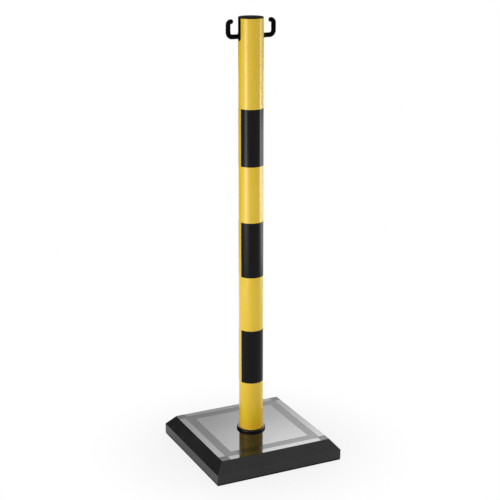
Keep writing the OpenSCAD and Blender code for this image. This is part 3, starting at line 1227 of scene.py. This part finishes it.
    def add_sleeve(self, mesh: Mesh, hole: Ring, ceiling_rim: Ring) -> None:
        """Runs the hole's wall down, round the sleeve's foot, up to the ceiling and along it.

        Args:
            mesh: The mesh that takes the faces.
            hole: The hole's ring in the top face.
            ceiling_rim: The ring at the ceiling's edge.
        """
        foot = round_ring(mesh, self.hole, self.sleeve_foot, self.sleeve_steps)
        outside = round_ring(mesh, self.sleeve, self.sleeve_foot, self.sleeve_steps)
        root = round_ring(mesh, self.sleeve, self.ceiling, self.sleeve_steps)
        skin(mesh, foot, hole)
        skin(mesh, outside, foot)
        skin(mesh, root, outside)
        half_arc = (self.arc_steps + 1) // 2
        holed_square(mesh, [*ceiling_rim[-half_arc:], *ceiling_rim[:-half_arc]], root)

    def add_ribs(self, mesh: Mesh) -> None:
        """Adds the cross of ribs that runs from the sleeve to the walls, under the ceiling.

        Args:
            mesh: The mesh that takes the faces.
        """
        low, high = self.ceiling - self.rib_depth, self.ceiling
        wall_in = self.section(self.wall)[-1][0]
        wall_low = wall_in + (high - low) / math.tan(self.form.slope)
        outline = (
            (self.sleeve - self.bury, low), (wall_low + self.bury, low),
            (wall_in + self.bury, high + self.bury), (self.sleeve - self.bury, high + self.bury),
        )
        for arm in range(4):
            turn = Matrix.Rotation(arm * QUARTER_TURN, 3, "Z")
            near, far = (
                [mesh.verts.new(turn @ Vector((x, y, z))) for x, z in outline]
                for y in (-self.rib / 2, self.rib / 2)
            )
            mesh.faces.new(near)
            mesh.faces.new(far[::-1])
            skin(mesh, far, near)

    def add_bosses(self, mesh: Mesh) -> None:
        """Adds the four screw bosses, each with its blind hole.

        Args:
            mesh: The mesh that takes the faces.
        """
        outlines = (
            (self.boss / 2, self.ceiling + self.bury), (self.boss / 2, self.plate_top),
            (self.screw / 2, self.plate_top), (self.screw / 2, self.screw_reach),
        )
        for middle in product((-self.foot_at, self.foot_at), repeat=2):
            rings = [round_ring(mesh, radius, z, self.boss_steps, middle) for radius, z in outlines]
            for first, second in zip(rings, rings[1:]):
                skin(mesh, first, second)
            mesh.faces.new(rings[0])
            mesh.faces.new(rings[-1][::-1])

    def build(self) -> None:
        """Builds the shell's skin, with rounded mitres and a stepped top, in place of the CAD shell."""
        mesh = bmesh.new()
        ceiling_rim, rim = self.add_walls(mesh)
        hole = round_ring(mesh, self.hole, self.form.top, self.sleeve_steps)
        self.add_sleeve(mesh, hole, ceiling_rim)
        self.add_top(mesh, rim, hole)
        self.add_ribs(mesh)
        self.add_bosses(mesh)
        bmesh.ops.recalc_face_normals(mesh, faces=mesh.faces)
        piece = link_mesh("shell_skin", mesh)
        piece.data.shade_smooth()
        piece.data.set_sharp_from_angle(angle=self.sharp_over)
        piece.modifiers.new("even_shading", "WEIGHTED_NORMAL").keep_sharp = True
        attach(piece, BODY)
        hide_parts("base_shell")
        self.finishes.wear(piece, *(area.value for area in Area))
        LOG.info("shell_skin: %d faces, stands for base_shell", len(piece.data.polygons))


@dataclass
class PostFixing(SubAssembly):
    """Collar, plug, bolt, washers and nut, which hold the post down on the base."""

    nodes: Dict[str, str] = field(default_factory=lambda: {
        "post_collar": "collar_plastic",
        "post_plug": "plug_plastic",
        "post_bolt": "zinc_steel",
        "lock_washer": "zinc_steel",
        "load_washer": "zinc_steel",
        "post_nut": "zinc_steel",
    })


@dataclass
class StripedPost(SubAssembly):
    """Yellow pipe with its three bands of black film."""

    nodes: Dict[str, str] = field(default_factory=lambda: {
        "post_tube": "post_yellow",
        "band_lower": "band_film",
        "band_middle": "band_film",
        "band_upper": "band_film",
    })


@dataclass
class ChainHead(SubAssembly):
    """Moulded head with a hook on each side."""

    nodes: Dict[str, str] = field(default_factory=lambda: {"hook_head": "head_plastic"})


# Studio


@dataclass(frozen=True)
class Fade:
    """How a lamp's brightness changes over its face: from low to high, between two shares of the way."""

    way: Way
    start: float
    end: float
    low: float
    high: float


@dataclass(frozen=True)
class Softbox:
    """A soft lamp: where it stands, what it looks at, its size, brightness and fades.

    A brightness of 1 is as bright as white paper in the picture.
    """

    name: str
    place: Point
    target: Point
    width: float
    height: float
    brightness: float
    fades: Tuple[Fade, ...] = ()

    def fall_off(self, lamp: bpy.types.Light) -> None:
        """Lets the brightness change over the lamp's face.

        Args:
            lamp: The lamp.
        """
        lamp.use_nodes = True
        sheet = NodeSheet(lamp.node_tree)
        along = sheet.add("ShaderNodeNewGeometry").outputs["Parametric"]
        parts = sheet.add("ShaderNodeSeparateXYZ", Vector=along).outputs
        strength: Feed = 1.0
        for fade in self.fades:
            change = sheet.ramp(parts[fade.way.value], fade.start, fade.end, fade.low, fade.high)
            strength = sheet.times(strength, change)
        glow = next(node for node in lamp.node_tree.nodes if node.type == "EMISSION")
        sheet.feed(glow.inputs["Strength"], strength)

    def put_up(self) -> None:
        """Adds the lamp, with the power that gives its brightness over its area."""
        lamp = bpy.data.lights.new(self.name, "AREA")
        lamp.shape = "RECTANGLE"
        lamp.size, lamp.size_y = self.width, self.height
        lamp.energy = math.pi * self.width * self.height * self.brightness
        if self.fades:
            self.fall_off(lamp)
        stand = bpy.data.objects.new(self.name, lamp)
        stand.location = self.place
        aim = Vector(self.target) - Vector(self.place)
        stand.rotation_euler = aim.to_track_quat("-Z", "Y").to_euler()
        bpy.context.scene.collection.objects.link(stand)
        LOG.info("lamp %s, brightness %.1f", self.name, self.brightness)


@dataclass(frozen=True)
class DarkCard:
    """A black backdrop that only gloss sees, as photographers stand beside a glossy object."""

    name: str
    centre: Point
    width: float
    height: float
    colour: Colour = (0.004, 0.004, 0.004)

    def put_up(self) -> None:
        """Adds the card upright, facing the post."""
        middle = Vector(self.centre)
        across = Vector((-middle.y, middle.x, 0.0)).normalized() * (self.width / 2)
        rise = Vector((0.0, 0.0, self.height / 2))
        card = flat_face(self.name, [
            middle - across - rise, middle + across - rise, middle + across + rise, middle - across + rise,
        ])
        material = bpy.data.materials.new(self.name)
        material.use_nodes = True
        shader = material.node_tree.nodes["Principled BSDF"]
        shader.inputs["Base Color"].default_value = (*self.colour, 1.0)
        shader.inputs["Specular IOR Level"].default_value = 0.0
        card.data.materials.append(material)
        for ray in ("camera", "diffuse", "transmission", "volume_scatter", "shadow"):
            setattr(card, f"visible_{ray}", False)
        LOG.info("card %s", self.name)


@dataclass(frozen=True)
class Viewpoint:
    """Where the photograph was taken from, solved from the base's edges and the post's ends."""

    place: Point = (-1.07184, -2.23716, 1.18167)
    turn: float = math.radians(-25.5539)
    drop: float = math.radians(16.7479)
    roll: float = math.radians(-0.0236)
    lens: float = 91.7085
    sensor: float = 36.0

    def put_up(self) -> None:
        """Adds the camera and makes it the scene's own."""
        back = Vector((
            math.sin(self.turn) * math.cos(self.drop),
            -math.cos(self.turn) * math.cos(self.drop),
            math.sin(self.drop),
        ))
        level = Vector((math.cos(self.turn), math.sin(self.turn), 0.0))
        rise = back.cross(level)
        right = level * math.cos(self.roll) + rise * math.sin(self.roll)
        up = rise * math.cos(self.roll) - level * math.sin(self.roll)
        camera = bpy.data.cameras.new("camera")
        camera.lens, camera.sensor_width = self.lens, self.sensor
        stand = bpy.data.objects.new("camera", camera)
        facing = Matrix((right, up, back)).transposed().to_4x4()
        stand.matrix_world = Matrix.Translation(self.place) @ facing
        bpy.context.scene.collection.objects.link(stand)
        bpy.context.scene.camera = stand


@dataclass
class Studio:
    """Plain pale floor, white surroundings, soft lamps and the camera."""

    surroundings: float = 0.41
    white: Colour = (1.0, 1.0, 1.0)
    floor_colour: Colour = (0.82, 0.82, 0.82)
    floor_half: float = 30.0
    floor_drop: float = 0.0003
    shadow_share: float = 0.19
    gloss_share: float = 0.65
    shadow_reach: Flat = (0.15, 0.37)
    # A square of painted shadow: the floor under the base is painted near black, and shows no white there.
    painted_shadow_half: float = 0.1398
    painted_shadow_colour: Colour = (0.02, 0.02, 0.02)
    viewpoint: Viewpoint = Viewpoint()
    lamps: Tuple[Softbox, ...] = (
        Softbox(
            "left_box", place=(-1.90, -0.63, 0.73), target=(0.0, 0.0, 0.55),
            width=0.85, height=1.4, brightness=6.1,
            fades=(Fade(Way.UP, start=0.25, end=0.85, low=1.0, high=0.3),),
        ),
        Softbox(
            "right_box", place=(1.92, -0.58, 0.73), target=(0.0, 0.0, 0.55),
            width=0.5, height=1.4, brightness=8.4,
            fades=(Fade(Way.UP, start=0.25, end=0.6, low=1.0, high=0.1),),
        ),
        Softbox(
            "low_left_box", place=(-1.12, -0.42, 0.20), target=(0.0, 0.0, 0.2),
            width=1.0, height=0.36, brightness=2.3,
        ),
        Softbox(
            "low_right_box", place=(1.12, -0.10, 0.26), target=(0.0, 0.0, 0.2),
            width=1.0, height=0.46, brightness=2.6,
        ),
        Softbox(
            "back_box", place=(1.22, 2.57, 1.36), target=(0.0, 0.0, 0.04),
            width=1.5, height=1.0, brightness=5.6,
            fades=(
                Fade(Way.UP, start=0.38, end=0.62, low=0.4, high=1.0),
                Fade(Way.ACROSS, start=0.3, end=0.7, low=1.4, high=0.64),
            ),
        ),
        Softbox(
            "overhead", place=(0.0, 0.2, 2.7), target=(0.0, 0.0, 0.3),
            width=1.6, height=1.6, brightness=0.8,
        ),
    )
    cards: Tuple[DarkCard, ...] = (
        DarkCard("card_left", centre=(-0.74, 1.07, 0.5), width=1.4, height=1.0),
        DarkCard("card_high", centre=(0.22, 0.46, 1.05), width=0.9, height=0.66),
    )

    @staticmethod
    def seen(sheet: NodeSheet) -> Socket:
        """Tells what the camera sees from what lights a surface.

        Args:
            sheet: The sheet that asks.

        Returns:
            1 for what is seen straight, in gloss or through glass, and 0 for the light on a surface.
        """
        path = sheet.add("ShaderNodeLightPath").outputs
        gloss = sheet.maths("MAXIMUM", path["Is Glossy Ray"], path["Is Transmission Ray"])
        return sheet.maths("MAXIMUM", path["Is Camera Ray"], gloss)

    def hang_white(self) -> None:
        """Makes the surroundings white to the eye and a plain soft light to the object."""
        world = bpy.data.worlds.new("surroundings")
        bpy.context.scene.world = world
        world.use_nodes = True
        world.node_tree.nodes.clear()
        sheet = NodeSheet(world.node_tree)
        lit, shown = (
            sheet.add("ShaderNodeBackground", Color=self.white, Strength=strength).outputs[0]
            for strength in (self.surroundings, 1.0)
        )
        sheet.add("ShaderNodeOutputWorld", Surface=sheet.mix_shaders(self.seen(sheet), lit, shown))

    def outside_painted_shadow(self, sheet: NodeSheet) -> Socket:
        """Gives 0 to the floor under the base, where its shadow is painted, and 1 to the rest of it."""
        across, along = (sheet.maths("ABSOLUTE", part) for part in sheet.place()[1:3])
        return sheet.above(sheet.maths("MAXIMUM", across, along), self.painted_shadow_half)

    def whiteness(self, sheet: NodeSheet) -> Socket:
        """Gives how far each point of the floor shows plain white in place of its own light and shade.

        Args:
            sheet: The floor's sheet.

        Returns:
            A mask that is 1 away from the object, less around it, and 0 under the base, where the painted
            shadow shows.
        """
        away = sheet.add("ShaderNodeVectorMath", {"operation": "LENGTH"}, Vector=sheet.place()[0])
        open_floor = sheet.ramp(away.outputs["Value"], *self.shadow_reach)
        gloss = sheet.add("ShaderNodeLightPath").outputs["Is Glossy Ray"]
        near = sheet.between(gloss, 1.0 - self.shadow_share, 1.0 - self.gloss_share)
        return sheet.times(sheet.between(open_floor, near, 1.0), self.outside_painted_shadow(sheet))

    def lay_floor(self) -> None:
        """Lays the floor, which shows white with the object's soft shadow, and a painted shadow under the
        base.
        """
        half, level = self.floor_half, -self.floor_drop
        floor = flat_face("floor", [
            (x * half, y * half, level) for x, y in ((-1, -1), (1, -1), (1, 1), (-1, 1))
        ])
        material = bpy.data.materials.new("floor")
        material.use_nodes = True
        material.node_tree.nodes.clear()
        sheet = NodeSheet(material.node_tree)
        # Painted shadow: the floor's colour is near black under the base.
        floor_and_painted_shadow = sheet.blend(self.outside_painted_shadow(sheet), self.painted_shadow_colour, self.floor_colour)
        matt = sheet.add("ShaderNodeBsdfDiffuse", Color=floor_and_painted_shadow).outputs[0]
        white = sheet.add("ShaderNodeEmission", Color=self.white, Strength=1.0).outputs[0]
        share = sheet.times(self.seen(sheet), self.whiteness(sheet))
        sheet.add("ShaderNodeOutputMaterial", Surface=sheet.mix_shaders(share, matt, white))
        floor.data.materials.append(material)

    def set_up(self) -> None:
        """Sets up the whole studio."""
        bpy.context.scene.view_settings.view_transform = "Standard"
        self.viewpoint.put_up()
        self.hang_white()
        self.lay_floor()
        for piece in (*self.lamps, *self.cards):
            piece.put_up()
        LOG.info("studio: %d lamps, camera of %.1f mm", len(self.lamps), self.viewpoint.lens)


def main() -> None:
    """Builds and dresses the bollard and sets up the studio."""
    logging.basicConfig(level=logging.INFO, format="%(name)s: %(message)s")
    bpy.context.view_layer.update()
    finishes = FinishBook()
    parts: List[SubAssembly] = [
        WeightedBase(finishes),
        PostFixing(finishes),
        StripedPost(finishes),
        ChainHead(finishes),
    ]
    for part in parts:
        part.build()
        part.dress()
    Studio().set_up()


if __name__ == "__main__":
    main()
